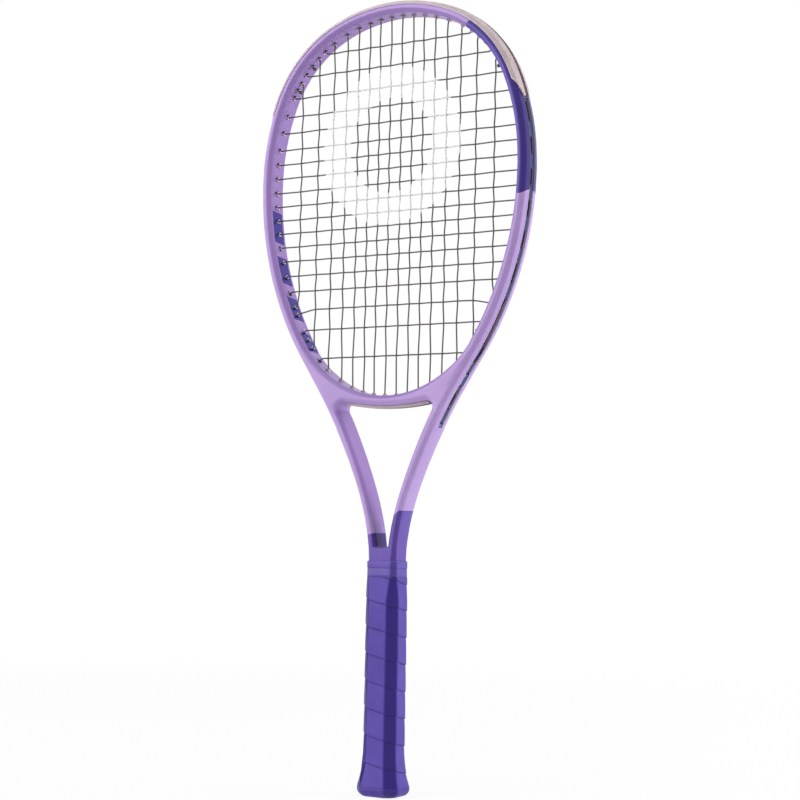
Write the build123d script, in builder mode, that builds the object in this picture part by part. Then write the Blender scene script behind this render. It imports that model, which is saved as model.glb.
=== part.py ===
"""Strung tennis racket: hairpin frame, bridge, guards, two-piece string bed and built-up handle.

Frame of the part: origin at the middle of the butt end, +Z up the shaft to the crown of the hoop,
X across the string bed, Y from front (-) to back (+). Millimetres throughout.

The right half of the frame is drawn and then mirrored. Places on it are given as a distance down
the middle line of the beam from the crown, and an offset from that line, away from the hoop.
"""
from build123d import *
from math import asin, atan2, copysign, cos, degrees, radians, sin, sqrt, tan
import os

os.makedirs("parts", exist_ok=True)

# ---- overall sizes -------------------------------------------------------------------------
racket_length = 685.8
bumper_skin = 1.2  # how far the head guard stands out past the frame

# Middle line of the hoop beam from the crown down: radius, degrees turned
hoop_bends = [(146.0, 22.0), (109.0, 46.0), (195.0, 19.5), (283.0, 37.5)]
# The arm bends the other way, and its second bend brings it into the shaft
arm_radius = 463.0
arm_turn = 15.5
arm_spread = 9.7  # middle line of an arm from the middle of the racket, where the shaft begins
arm_root = 1.0  # degrees that each arm runs on into the shaft

# ---- beam section --------------------------------------------------------------------------
# Offsets are from the middle line, half heights from the string bed:
# inner wall, its half height, half width of the front band, half height of the beam,
# outer edge of the bevel, its half height, crest of the outer wall, its half height
hoop_section = (4.65, 9.5, 1.5, 12.5, 4.4, 9.8, 5.6, 3.3)
throat_section = (4.9, 9.4, 2.2, 12.5, 4.8, 9.6, 5.5, 3.6)
arm_section = (4.6, 9.2, 2.0, 12.5, 4.6, 9.3, 5.4, 3.7)
ankle_section = (4.0, 8.8, 1.7, 11.8, 4.0, 8.8, 4.3, 3.8)
crotch_section = (4.2, 8.6, 1.7, 11.4, 4.3, 8.6, 4.4, 3.8)
wall = 1.6  # composite wall of the tube

# ---- bridge --------------------------------------------------------------------------------
bridge_top = 340.0  # lowest point of the inside of the hoop
bridge_depth = 8.5
bridge_under_radius = 230.0
bridge_bevel = 3.0
throat_corner_radius = 6.0
bridge_root = 0.3  # how far the edges of the bridge run into the beam before they are trimmed

# ---- shaft and handle ----------------------------------------------------------------------
shaft_top = 209.6  # floor of the crotch
shaft_head_width = 28.4
shaft_width = 27.4
shaft_depth = 23.0
shaft_corner = 3.2
shaft_neck = 199.0  # below this the shaft keeps one width
tang_top = 178.0  # below this the shaft is narrower, inside the pallet
tang_bottom = 22.0
tang_width = 24.0
tang_depth = 18.0
tang_corner = 3.0
tang_wall = 1.8
plug_length = 14.0

grip_width = 33.0
grip_depth = 30.0
grip_bevel = 7.4
grip_thickness = 1.5
grip_top = 184.8
grip_taper_bottom = 165.0
grip_top_bevel = 4.2
tape_length = 7.5
tape_thickness = 1.1
collar_length = 6.0
collar_thickness = 1.3

butt_width = 40.9
butt_depth = 37.4
butt_bevel = 8.6
butt_rim_height = 8.0
butt_flare_top = 38.0
butt_edge_radius = 3.2
butt_floor = 4.4
skirt_top = 34.0
skirt_wall = 1.3
pallet_bottom = 12.0

door_width = 22.0
door_depth = 16.0
door_corner = 3.0
door_thickness = 2.0
door_recess = 0.6  # the door lies this far inside the butt end
door_lip = 1.4
door_clearance = 0.3

staple_height = 25.0
staple_crown = 10.0
staple_leg = 4.2
staple_wire = 0.8

# ---- strings and grommets ------------------------------------------------------------------
string_diameter = 1.3
weave_gap = 0.14  # between two strings where they cross
weave_share = 0.25  # part of the way to the next crossing that a string is curved
main_offsets = [5.7, 16.7, 27.6, 38.8, 51.2, 64.5, 80.1, 98.0]
cross_heights = [649.5, 631.2, 612.3, 595.8, 581.2, 565.8, 552.8, 539.9, 526.9, 514.2,
                 501.6, 489.4, 476.9, 464.0, 450.5, 436.2, 419.3, 400.9, 375.2]
bridge_mains = 4  # on each side, counted from the middle, that end in the bridge
slot_exits = [330.0, 343.0]  # heights at which the next two mains come out of the arm
least_hole_pitch = 7.5
hole_radius = 2.05
barrel_radius = 1.8
bore_radius = 1.2
barrel_stand = 1.7  # how far a barrel stands out inside the hoop
bend_stand = 2.9  # a string turns into its barrel this far inside the hoop
bend_reach = 2.2  # half length of the curve where a string turns into its barrel
seat_reach = 1.3  # and where it turns out of the barrel into the groove
groove_width = 6.2
groove_floor = 3.2
strip_thickness = 0.85
strip_half_width = 2.9
channel_half_width = 2.45  # of the channel that the strings lie in
strip_clearance = 0.05
string_lift = 0.12  # clearance of a string over the strip
passing_side = 1.5  # a string that passes another hole in the groove runs this far to one side
passing_shift = 5.0  # length of groove in which it moves over
track_step = 6.0
hairpin_step = 2.8
bumper_length = 166.0  # down each side of the hoop, along the middle line
bumper_taper = 149.0  # from here on it narrows
bumper_wrap = 3.4  # how far its edges reach over the bevels of the beam
bumper_tip_width = 5.5
bumper_lip = 0.9  # thickness of its edges
strip_end_gap = 0.4
groove_end_height = 356.0
slot_top_height = 349.5
slot_bottom_height = 314.0
throat_strip_reach = 41.0
throat_strip_half_width = 5.5
throat_strip_edge = 1.4
throat_strip_drop = 2.3
mouth_radius = 1.7
knot_radius = 1.7
knot_stand = 0.15  # clearance between a knot and its barrel

fit = 0.05  # clearance between pieces that are glued or pressed together


# ---- the middle line -----------------------------------------------------------------------
def outward(heading):
    """Unit vector away from the hoop. A heading of 0 is the crown, 90 the widest place."""
    return Vector(sin(radians(heading)), 0, cos(radians(heading)))


def downward(heading):
    """Unit vector along the beam, away from the crown."""
    return Vector(cos(radians(heading)), 0, -sin(radians(heading)))


class Bend:
    """One round stretch of the middle line. A negative turn bends away from the hoop."""

    def __init__(self, start_point, start, turn, radius):
        self.start = start
        self.end = start + turn
        self.reach = copysign(radius, turn)
        self.length = radius * radians(abs(turn))
        self.centre = start_point - outward(start) * self.reach

    def at(self, heading, offset=0.0):
        return self.centre + outward(heading) * (self.reach + offset)

    def foot(self, point):
        """Heading, and offset from the line, of a point beside this bend."""
        away = (point - self.centre) * copysign(1.0, self.reach)
        heading = degrees(atan2(away.X, away.Z))
        return heading, (point - self.centre).dot(outward(heading)) - self.reach


def seek(measure, goal, low, high):
    """The value between low and high at which measure, which only rises or falls, is the goal."""
    rising = measure(high) > measure(low)
    for _ in range(60):
        middle = (low + high) / 2
        if (measure(middle) < goal) == rising:
            low = middle
        else:
            high = middle
    return (low + high) / 2


beam_inner = hoop_section[0]
beam_half_height = hoop_section[3]
beam_crest = hoop_section[6]

beam = []
place = Vector(0, 0, racket_length - bumper_skin - beam_crest)
heading = 0.0
for radius, turn in hoop_bends + [(arm_radius, -arm_turn)]:
    beam.append(Bend(place, heading, turn, radius))
    heading += turn
    place = beam[-1].at(heading)
# the last bend is as large as it takes to reach the arm's place at the crotch
chord = place - Vector(arm_spread, 0, shaft_top)
last_turn = 2 * (heading - 90 - degrees(atan2(chord.X, chord.Z)))
last_radius = chord.length / (2 * sin(radians(last_turn / 2)))
beam.append(Bend(place, heading, -last_turn, last_radius))
upper_arm, lower_arm = beam[-2:]
hoop_length = sum(bend.length for bend in beam[:-2])
upper_arm_end = hoop_length + upper_arm.length
arm_end = upper_arm_end + lower_arm.length


def bend_at(distance):
    """The bend at a distance down the middle line from the crown, and the heading there."""
    for bend in beam:
        if distance <= bend.length or bend is lower_arm:
            break
        distance -= bend.length
    return bend, bend.start + degrees(distance / bend.reach)


def beam_at(distance, offset=0.0, side=0.0):
    """A point beside the middle line. A negative distance lies on the left half."""
    bend, heading = bend_at(abs(distance))
    point = bend.at(heading, offset)
    return Vector(copysign(1.0, distance) * point.X, side, point.Z)


def beam_foot(point):
    """Distance down the middle line, and offset from it, of a point beside the right half."""
    done = 0.0
    for bend in beam:
        heading, offset = bend.foot(point)
        run = radians(heading - bend.start) * bend.reach
        if run <= bend.length or bend is lower_arm:
            break
        done += bend.length
    return done + run, offset


def arm_distance(height, offset=0.0):
    """Distance down the middle line at which the upper arm passes a height."""
    return seek(lambda distance: beam_at(distance, offset).Z, height, hoop_length, upper_arm_end)


# The inside of the hoop follows the beam, and one throat arc closes it at the bottom
side_bend = beam[-3]
inner_radius = side_bend.reach - beam_inner
drop = bridge_top - side_bend.centre.Z
throat_radius = (inner_radius**2 - side_bend.centre.X**2 - drop**2) / (2 * (inner_radius + drop))
throat_start = degrees(atan2(-side_bend.centre.X, bridge_top + throat_radius - side_bend.centre.Z))
throat = Bend(Vector(0, 0, bridge_top), 180.0, 1.0, throat_radius)
throat_begin = hoop_length - radians(side_bend.end - throat_start) * side_bend.reach
oval_length = throat_begin + radians(180.0 - throat_start) * throat_radius

# The underside of the bridge is an arc about a point above it
under = Bend(Vector(0, 0, bridge_top - bridge_depth), 180.0, 1.0, bridge_under_radius)


def oval_at(distance):
    """Point on the inside face of the hoop, and the direction out of the hoop there."""
    if distance <= throat_begin:
        bend, heading = bend_at(distance)
        return bend.at(heading, -beam_inner), outward(heading)
    heading = throat_start + degrees((distance - throat_begin) / throat_radius)
    return throat.at(heading), outward(heading)


# ---- string holes --------------------------------------------------------------------------
string_seat = strip_clearance + strip_thickness + string_lift + string_diameter / 2


class Hole:
    """A string hole from the inside face of the hoop out to the floor of a groove."""

    def __init__(self, start, direction, floor_offset, offset_of, distance_of, reach):
        self.start = start
        self.direction = direction
        self.depth = seek(lambda run: offset_of(self.on_axis(run)), floor_offset, 0.0, reach)
        self.seat_depth = seek(lambda run: offset_of(self.on_axis(run)),
                               floor_offset + string_seat, 0.0, reach)
        self.seat = self.on_axis(self.seat_depth)
        self.bend = start - direction * bend_stand
        self.distance = distance_of(self.seat)

    def on_axis(self, run):
        return self.start + self.direction * run


def beam_hole(start, direction, reach=60.0):
    return Hole(start, direction, groove_floor, lambda p: beam_foot(p)[1],
                lambda p: beam_foot(p)[0], reach)


def bridge_hole(offset):
    """A hole straight down through the bridge. Its distance is its place along the underside."""
    start = Vector(offset, 0, bridge_top + throat_radius - sqrt(throat_radius**2 - offset**2))
    return Hole(start, Vector(0, 0, -1), 0.0, lambda p: under.foot(p)[1], lambda p: p.X, 25.0)


def slot_hole(offset, height):
    """A hole through bridge and arm, to where the floor of the slot passes a height."""
    start = Vector(offset, 0, bridge_top + throat_radius - sqrt(throat_radius**2 - offset**2))
    finish = beam_at(arm_distance(height, groove_floor), groove_floor)
    return beam_hole(start, (finish - start).normalized())


def bend_point(distance):
    face, direction = oval_at(distance)
    return face - direction * bend_stand


half_way = hoop_length / 2
natural = {}
for number, offset in enumerate(main_offsets):
    natural["main top", number] = seek(lambda s: bend_point(s).X, offset, 0.0, half_way)
for number in (6, 7):
    natural["main foot", number] = seek(
        lambda s: bend_point(s).X, main_offsets[number], half_way, oval_length)
for number, height in enumerate(cross_heights):
    natural["cross", number] = seek(lambda s: bend_point(s).Z, height, 0.0, oval_length)
natural["tie", 0] = (natural["main top", 7] + natural["cross", 2]) / 2
natural["tie", 1] = (natural["main top", 6] + natural["cross", 1]) / 2
natural["tie", 2] = (natural["main foot", 6] + natural["cross", 17]) / 2

# holes that would run into each other are moved apart along the hoop
names = sorted(natural, key=natural.get)
spots = [natural[name] for name in names]
for _ in range(200):
    for first in range(len(spots) - 1):
        lack = least_hole_pitch - (spots[first + 1] - spots[first])
        if lack > 0:
            spots[first] -= lack / 2
            spots[first + 1] += lack / 2
holes = {name: beam_hole(*oval_at(spot)) for name, spot in zip(names, spots)}
for number, height in enumerate(slot_exits, start=bridge_mains):
    holes["main foot", number] = slot_hole(main_offsets[number], height)
beam_holes = list(holes.values())
bridge_holes = [bridge_hole(offset) for offset in main_offsets[:bridge_mains]]
for number, hole in enumerate(bridge_holes):
    holes["main foot", number] = hole


# ---- shared drawing helpers ----------------------------------------------------------------
def closed_outline(upper):
    """A section that is the same above and below the string bed, from its upper half."""
    return upper + [(offset, -height) for offset, height in reversed(upper)]


def beam_outline(section):
    inner, inner_half, band, half, bevel, bevel_half, crest, crest_half = section
    return closed_outline([(-inner, inner_half), (-band, half), (band, half),
                           (bevel, bevel_half), (crest, crest_half)])


def roomy_outline(section):
    """The beam with the layer of resin that bonds the bridge to it."""
    inner, inner_half, band, half, bevel, bevel_half, crest, crest_half = section
    return beam_outline((inner + fit, inner_half + fit / 2, band + fit / 2, half + fit,
                         bevel + fit, bevel_half + fit, crest + fit, crest_half))


def hollow_outline(section, floor):
    """The hollow of the tube. The floor is the bottom of the groove, or the crest without one."""
    inner, inner_half, band, half, bevel, bevel_half, crest, crest_half = section
    return closed_outline([(wall - inner, inner_half - wall / 2), (-band * 0.7, half - wall),
                           (band * 0.7, half - wall), (bevel - wall, bevel_half - wall / 2),
                           (floor - wall, groove_width / 2 + wall)])


def block_outline(low, high, half_width):
    return closed_outline([(low, half_width), (high, half_width)])


def octagon(width, depth, bevel, inset=0.0):
    """Corners of an eight-sided section, set in all round by the same amount."""
    x = width / 2 - inset
    y = depth / 2 - inset
    cut = bevel - inset * (2 - sqrt(2))
    return [(x - cut, y), (x, y - cut), (x, cut - y), (x - cut, -y),
            (cut - x, -y), (-x, cut - y), (-x, y - cut), (cut - x, y)]


def face_on(plane, outline):
    with BuildSketch(plane) as profile:
        Polygon(*outline)
    return profile.sketch


def beam_plane(bend, heading):
    return Plane(origin=bend.at(heading), x_dir=outward(heading), z_dir=downward(heading))


def along_beam(first, last, outline, mode=Mode.ADD):
    """Carry an outline along the beam between two distances from the crown."""
    done = 0.0
    for bend in beam:
        start = max(first - done, 0.0)
        stop = min(last - done, bend.length)
        done += bend.length
        if stop - start > fit:
            heading = bend.start + degrees(start / bend.reach)
            profile = face_on(beam_plane(bend, heading), outline)
            turning = degrees((stop - start) / bend.reach)
            revolve(profile, axis=Axis(bend.centre, (0, 1, 0)), revolution_arc=turning, mode=mode)


def rod(start, finish, radius, mode=Mode.ADD):
    run = finish - start
    with BuildSketch(Plane(origin=start, x_dir=(0, 1, 0), z_dir=run)) as disc:
        Circle(radius)
    extrude(disc.sketch, amount=run.length, mode=mode)


def tapered(stations, mode=Mode.ADD, ruled=True):
    """Loft through horizontal outlines, each given with its height."""
    loft([face_on(Plane.XY.offset(height), outline) for height, outline in stations],
         ruled=ruled, mode=mode)


# ---- frame tube ----------------------------------------------------------------------------
arm_stations = [(hoop_length, hoop_section), (hoop_length + 26.0, throat_section),
                (hoop_length + 60.0, arm_section), (upper_arm_end, ankle_section),
                (arm_end - 22.0, ankle_section), (arm_end, crotch_section)]


def arm_faces(outline_of, extra):
    faces = []
    for distance, section in arm_stations:
        bend, heading = bend_at(distance)
        faces.append(face_on(beam_plane(bend, heading), outline_of(section)))
    last = face_on(beam_plane(lower_arm, lower_arm.end - arm_root), outline_of(crotch_section))
    return faces + [last] if extra else faces


tang_outline = octagon(tang_width, tang_depth, tang_corner)
shaft_outline = octagon(shaft_width, shaft_depth, shaft_corner)

def beam_skin(first, outline_of):
    """The outside of both halves of the beam, from a distance down to the shaft."""
    along_beam(first, hoop_length, outline_of(hoop_section))
    loft(arm_faces(outline_of, True))
    mirror(about=Plane.YZ)


with BuildPart() as frame_skin:
    beam_skin(0.0, beam_outline)
    tapered([(shaft_top, octagon(shaft_head_width, shaft_depth, shaft_corner)),
             (shaft_neck, shaft_outline)])
    tapered([(shaft_neck, shaft_outline), (tang_top, shaft_outline)])
    tapered([(tang_top, tang_outline), (tang_bottom, tang_outline)])

leg_outer = tang_width / 2 - tang_wall
leg_inner = wall / 2
leg_half_depth = tang_depth / 2 - tang_wall
leg_centre = (leg_outer + leg_inner) / 2
leg_half_width = (leg_outer - leg_inner) / 2


def leg_outline(shrink=0.0):
    """The hollow of one leg of the shaft, with as many corners as the hollow of the arm."""
    half = leg_half_width - shrink
    deep = leg_half_depth - shrink
    return closed_outline([(-half, deep), (-half / 2, deep), (half / 2, deep),
                           (half, deep), (half, deep / 2)])


def leg_plane(height):
    return Plane(origin=(leg_centre, 0, height), x_dir=(1, 0, 0), z_dir=(0, 0, -1))


with BuildPart() as frame_hollow:
    along_beam(0.0, hoop_length, hollow_outline(hoop_section, groove_floor))
    loft(arm_faces(lambda section: hollow_outline(section, groove_floor), False))
    loft([face_on(beam_plane(lower_arm, lower_arm.end),
                  hollow_outline(crotch_section, groove_floor)),
          face_on(leg_plane(shaft_neck), leg_outline())])
    extrude(face_on(leg_plane(shaft_neck), leg_outline()), amount=shaft_neck - tang_bottom)
    mirror(about=Plane.YZ)

groove_end = arm_distance(groove_end_height, groove_floor)
slot_start = arm_distance(slot_top_height, groove_floor)
slot_end = arm_distance(slot_bottom_height, groove_floor)
open_outline = block_outline(groove_floor, beam_crest * 2, groove_width / 2)


def slot_round(distance):
    """The round end of a groove."""
    start = beam_at(distance, groove_floor)
    rod(start, start + outward(bend_at(distance)[1]) * beam_crest, groove_width / 2)


with BuildPart() as frame_cuts:
    along_beam(0.0, groove_end - groove_width / 2, open_outline)
    along_beam(slot_start + groove_width / 2, slot_end - groove_width / 2, open_outline)
    slot_round(groove_end - groove_width / 2)
    slot_round(slot_start + groove_width / 2)
    slot_round(slot_end - groove_width / 2)
    for hole in beam_holes:
        rod(hole.on_axis(-1.0), hole.on_axis(hole.depth + 1.0), hole_radius)
    mirror(about=Plane.YZ)

with BuildPart() as frame_tube:
    add(frame_skin.part)
    add(frame_hollow.part, mode=Mode.SUBTRACT)
    add(frame_cuts.part, mode=Mode.SUBTRACT)
frame_tube.part.label = "frame_tube"
export_step(frame_tube.part, "parts/frame_tube.step")


# ---- bridge --------------------------------------------------------------------------------
def flat(point, hand=1):
    return hand * point.X, point.Z


def yoke_face(top, side, edge):
    """A face in the plane of the string bed, under an arc and between two mirrored sides."""
    with BuildSketch(Plane.XZ) as yoke:
        with BuildLine():
            ThreePointArc(flat(side[0]), (0, top), flat(side[0], -1))
            edge(*[flat(point) for point in side])
            edge(*[flat(point, -1) for point in side])
            Line(flat(side[-1]), flat(side[-1], -1))
        make_face()
    return yoke.sketch


bridge_bottom = bridge_top - bridge_depth
void_inset = bridge_root - arm_section[0]
void_corner = seek(lambda distance: under.foot(beam_at(distance, void_inset))[1], 0.0,
                   hoop_length, upper_arm_end)
plate_foot = void_corner + throat_corner_radius * 3
void_foot = plate_foot + throat_corner_radius * 2
void_side = [beam_at(distance, void_inset)
             for distance in (void_corner, (void_corner + void_foot) / 2, void_foot)]
plate_side = [beam_at(throat_begin, bridge_root - beam_inner)]
plate_side += [beam_at(throat_begin + (plate_foot - throat_begin) * part / 8)
               for part in range(1, 9)]
void = yoke_face(bridge_bottom, void_side, ThreePointArc)
void = fillet(void.vertices().sort_by_distance((void_side[0].X, 0, void_side[0].Z))[0:1]
              + void.vertices().sort_by_distance((-void_side[0].X, 0, void_side[0].Z))[0:1],
              throat_corner_radius)

with BuildPart() as bridge_socket:
    beam_skin(throat_begin - bridge_depth, roomy_outline)

with BuildPart() as throat_bridge:
    extrude(yoke_face(bridge_top, plate_side, Polyline), amount=beam_half_height, both=True)
    extrude(void, amount=beam_half_height, both=True, mode=Mode.SUBTRACT)
    rims = throat_bridge.edges().filter_by(GeomType.CIRCLE)
    chamfer(rims.filter_by(lambda edge: abs(abs(edge.center().Y) - beam_half_height) < fit),
            bridge_bevel)
    add(bridge_socket.part, mode=Mode.SUBTRACT)
    for hole in holes.values():
        if hole.start.Z < bridge_top + bridge_depth * 6:
            for hand in (1, -1):
                rod(*[Vector(hand * point.X, 0, point.Z)
                      for point in (hole.on_axis(-1.0), hole.on_axis(hole.depth + 1.0))],
                    hole_radius, mode=Mode.SUBTRACT)
throat_bridge.part.label = "throat_bridge"
export_step(throat_bridge.part, "parts/throat_bridge.step")


# ---- bumper guard and grommet strips ---------------------------------------------------------
strip_bottom = strip_clearance
strip_top = strip_clearance + strip_thickness


def barrels(strip_holes):
    for hole in strip_holes:
        rod(hole.on_axis(-barrel_stand), hole.on_axis(hole.depth + strip_top), barrel_radius)


def bores(strip_holes):
    for hole in strip_holes:
        rod(hole.on_axis(-barrel_stand - 1.0), hole.on_axis(hole.seat_depth + 1.0), bore_radius,
            mode=Mode.SUBTRACT)


def holes_between(first, last):
    return [hole for hole in beam_holes if first < hole.distance < last]


# The head guard lies on the outer wall of the beam and reaches round its outer corners on to the
# bevels.
beam_corner = Vector(hoop_section[4], hoop_section[5])
bevel_run = (Vector(hoop_section[2], hoop_section[3]) - beam_corner).normalized()
bevel_out = Vector(bevel_run.Y, -bevel_run.X)
bumper_edge = beam_corner + bevel_run * bumper_wrap
bumper_under = bumper_edge + bevel_out * strip_clearance
bumper_rim = bumper_edge + bevel_out * bumper_lip
bumper_outline = closed_outline([
    (groove_floor + strip_bottom, strip_half_width),
    (beam_crest + strip_clearance, strip_half_width),
    (beam_crest + strip_clearance, hoop_section[7]),
    (beam_corner.X + strip_clearance, beam_corner.Y + strip_clearance / 2),
    (bumper_under.X, bumper_under.Y), (bumper_rim.X, bumper_rim.Y),
    (beam_corner.X + bumper_lip, beam_corner.Y + bumper_lip / 2),
    (beam_crest + bumper_skin, hoop_section[7] + strip_clearance),
    (beam_crest + bumper_skin, channel_half_width),
    (groove_floor + strip_top, channel_half_width)])
strip_outline = block_outline(groove_floor + strip_bottom, groove_floor + strip_top,
                              strip_half_width)
clear_outline = block_outline(groove_floor + strip_top, beam_crest * 2, channel_half_width)
taper_middle = (bumper_taper + bumper_length) / 2
taper_half = (bumper_length - bumper_taper) / 2
taper_heading = bend_at(taper_middle)[1]
taper_plane = Plane(origin=beam_at(taper_middle, beam_crest), x_dir=downward(taper_heading),
                    z_dir=outward(taper_heading))

with BuildPart() as bumper_half:
    along_beam(0.0, bumper_length, bumper_outline)
    barrels(holes_between(0.0, bumper_length))
    along_beam(0.0, bumper_length, clear_outline, mode=Mode.SUBTRACT)
    bores(holes_between(0.0, bumper_length))
    for side in (1, -1):
        trim = face_on(taper_plane, [(-taper_half, side * bumper_rim.Y * 1.1),
                                     (-taper_half, side * bumper_rim.Y),
                                     (taper_half, side * bumper_tip_width),
                                     (taper_half * 1.2, side * bumper_rim.Y * 1.1)])
        extrude(trim, amount=beam_crest, both=True, mode=Mode.SUBTRACT)
    left_half = mirror(bumper_half.part, about=Plane.YZ, mode=Mode.PRIVATE)

with BuildPart() as bumper_guard:
    add(bumper_half.part)
    add(left_half, clean=False)
bumper_guard.part.label = "bumper_guard"
export_step(bumper_guard.part, "parts/bumper_guard.step")


def grommet_strip(first, last):
    """The strip and its barrels for one stretch of groove on the right."""
    with BuildPart() as strip:
        along_beam(first, last, strip_outline)
        barrels(holes_between(first, last))
        along_beam(first - groove_width, last + groove_width, clear_outline, mode=Mode.SUBTRACT)
        bores(holes_between(first, last))
    return strip.part


strip_start = bumper_length + strip_end_gap
side_strip = grommet_strip(strip_start, groove_end - groove_width / 2)

with BuildPart() as right_grommet_strip:
    add(side_strip)
right_grommet_strip.part.label = "right_grommet_strip"
export_step(right_grommet_strip.part, "parts/right_grommet_strip.step")

with BuildPart() as left_grommet_strip:
    mirror(side_strip, about=Plane.YZ)
left_grommet_strip.part.label = "left_grommet_strip"
export_step(left_grommet_strip.part, "parts/left_grommet_strip.step")

# Each arm has one loop of the main string in its slot. It comes out steeply at the lower hole
# and turns back up in two steps, in a wider mouth.
low_hole = holes["main foot", bridge_mains]
high_hole = holes["main foot", bridge_mains + 1]
slot_run = (high_hole.seat - low_hole.seat).normalized()
hairpin_run = (low_hole.direction + slot_run).normalized() * hairpin_step
slot_outward = outward(bend_at(low_hole.distance)[1])
hairpin_start = low_hole.on_axis(low_hole.seat_depth - hairpin_run.dot(slot_outward)
                                 / low_hole.direction.dot(slot_outward))
hairpin_end = hairpin_start + hairpin_run
mouth_start = hairpin_end - slot_outward * (string_seat + wall)

slot_strip = grommet_strip(slot_start + groove_width / 2, slot_end - groove_width / 2)

with BuildPart() as right_arm_grommets:
    add(slot_strip)
    rod(mouth_start, hairpin_end, mouth_radius, mode=Mode.SUBTRACT)
right_arm_grommets.part.label = "right_arm_grommets"
export_step(right_arm_grommets.part, "parts/right_arm_grommets.step")

with BuildPart() as left_arm_grommets:
    mirror(right_arm_grommets.part, about=Plane.YZ)
left_arm_grommets.part.label = "left_arm_grommets"
export_step(left_arm_grommets.part, "parts/left_arm_grommets.step")

throat_outline = closed_outline([
    (strip_bottom, throat_strip_half_width), (throat_strip_edge, throat_strip_half_width),
    (throat_strip_drop, throat_strip_half_width - throat_strip_edge),
    (throat_strip_drop, channel_half_width), (strip_top, channel_half_width)])
throat_sweep = degrees(asin(throat_strip_reach / bridge_under_radius))
throat_channel = block_outline(strip_top, throat_strip_drop * 2, channel_half_width)


def under_bridge(outline, mode=Mode.ADD):
    profile = face_on(beam_plane(under, 180.0 - throat_sweep), outline)
    revolve(profile, axis=Axis(under.centre, (0, 1, 0)), revolution_arc=2 * throat_sweep,
            mode=mode)


with BuildPart() as throat_grommet_strip:
    under_bridge(throat_outline)
    barrels(bridge_holes)
    mirror(about=Plane.YZ)
    under_bridge(throat_channel, mode=Mode.SUBTRACT)
    for hole in bridge_holes:
        for hand in (1, -1):
            with Locations((hand * hole.start.X, 0, hole.start.Z)):
                Cylinder(bore_radius, bridge_depth * 5, mode=Mode.SUBTRACT)
throat_grommet_strip.part.label = "throat_grommet_strip"
export_step(throat_grommet_strip.part, "parts/throat_grommet_strip.step")


# ---- handle --------------------------------------------------------------------------------
grip_stations = [butt_rim_height, 13.0, 18.0, 24.0, 30.0, butt_flare_top,
                 grip_taper_bottom, grip_top]


def handle_outline(height, inset=0.0):
    """Outline of the grip at a height, or of a layer that lies this far inside it."""
    flare = max(butt_flare_top - height, 0.0) / (butt_flare_top - butt_rim_height)
    taper = max(height - grip_taper_bottom, 0.0) / (grip_top - grip_taper_bottom)
    top_width = shaft_width + 2 * (grip_thickness + 2 * fit)
    top_depth = shaft_depth + 2 * (grip_thickness + 2 * fit)
    sizes = []
    for plain, butt, top in ((grip_width, butt_width, top_width),
                             (grip_depth, butt_depth, top_depth),
                             (grip_bevel, butt_bevel, grip_top_bevel)):
        sizes.append(plain + (butt - plain) * flare**2 + (top - plain) * taper)
    return octagon(*sizes, inset)


def handle_layer(first, last, inset):
    heights = [first] + [height for height in grip_stations if first < height < last] + [last]
    return [(height, handle_outline(height, inset)) for height in heights]


def staple(hand, grow=0.0, mode=Mode.ADD):
    """A wire staple, driven in towards the middle from the front (-1) or the back (1)."""
    face = hand * (handle_outline(staple_height, grip_thickness + 2 * fit)[0][1] - fit)
    wire = staple_wire + 2 * grow
    with Locations((0, face - hand * staple_wire / 2, staple_height)):
        Box(staple_crown + 2 * grow, wire, wire, mode=mode)
    legs = [(side * (staple_crown - staple_wire) / 2, face - hand * staple_leg / 2, staple_height)
            for side in (-1, 1)]
    with Locations(*legs):
        Box(wire, staple_leg + 2 * grow, wire, mode=mode)


with BuildPart() as grip_wrap:
    tapered(handle_layer(butt_rim_height + fit, grip_top, 0.0))
    tapered(handle_layer(butt_rim_height + fit, grip_top, grip_thickness), mode=Mode.SUBTRACT)
grip_wrap.part.label = "grip_wrap"
export_step(grip_wrap.part, "parts/grip_wrap.step")


def shaft_ring(bottom, length, thickness):
    """A band round the shaft."""
    with BuildPart() as ring:
        for inset, mode in ((-thickness, Mode.ADD), (-fit, Mode.SUBTRACT)):
            outline = octagon(shaft_width, shaft_depth, shaft_corner, inset)
            extrude(face_on(Plane.XY.offset(bottom), outline), amount=length, mode=mode)
    return ring


tape_bottom = grip_top + fit
finishing_tape = shaft_ring(tape_bottom, tape_length, tape_thickness)
finishing_tape.part.label = "finishing_tape"
export_step(finishing_tape.part, "parts/finishing_tape.step")

rubber_collar = shaft_ring(tape_bottom + tape_length + fit, collar_length, collar_thickness)
rubber_collar.part.label = "rubber_collar"
export_step(rubber_collar.part, "parts/rubber_collar.step")

skirt_inset = grip_thickness + fit
pallet_inset = grip_thickness + 2 * fit
socket_outline = octagon(grip_width, grip_depth, grip_bevel, skirt_inset + skirt_wall)
spigot_outline = octagon(grip_width, grip_depth, grip_bevel, skirt_inset + skirt_wall + fit)
door_pocket = door_recess + door_thickness + door_clearance

with BuildPart() as butt_cap:
    rim = handle_outline(butt_rim_height)
    extrude(face_on(Plane.XY, rim), amount=butt_rim_height)
    fillet(butt_cap.edges().group_by(Axis.Z)[0], butt_edge_radius)
    tapered(handle_layer(butt_rim_height, skirt_top, skirt_inset))
    extrude(face_on(Plane.XY.offset(butt_floor), socket_outline), amount=skirt_top,
            mode=Mode.SUBTRACT)
    with BuildSketch():
        RectangleRounded(door_width + 2 * door_clearance, door_depth + 2 * door_clearance,
                         door_corner + door_clearance)
    extrude(amount=door_pocket, mode=Mode.SUBTRACT)
    with BuildSketch():
        RectangleRounded(door_width - 2 * door_lip, door_depth - 2 * door_lip,
                         door_corner - door_lip)
    extrude(amount=butt_floor, mode=Mode.SUBTRACT)
    for hand in (-1, 1):
        staple(hand, grow=fit * 2, mode=Mode.SUBTRACT)
butt_cap.part.label = "butt_cap"
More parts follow.
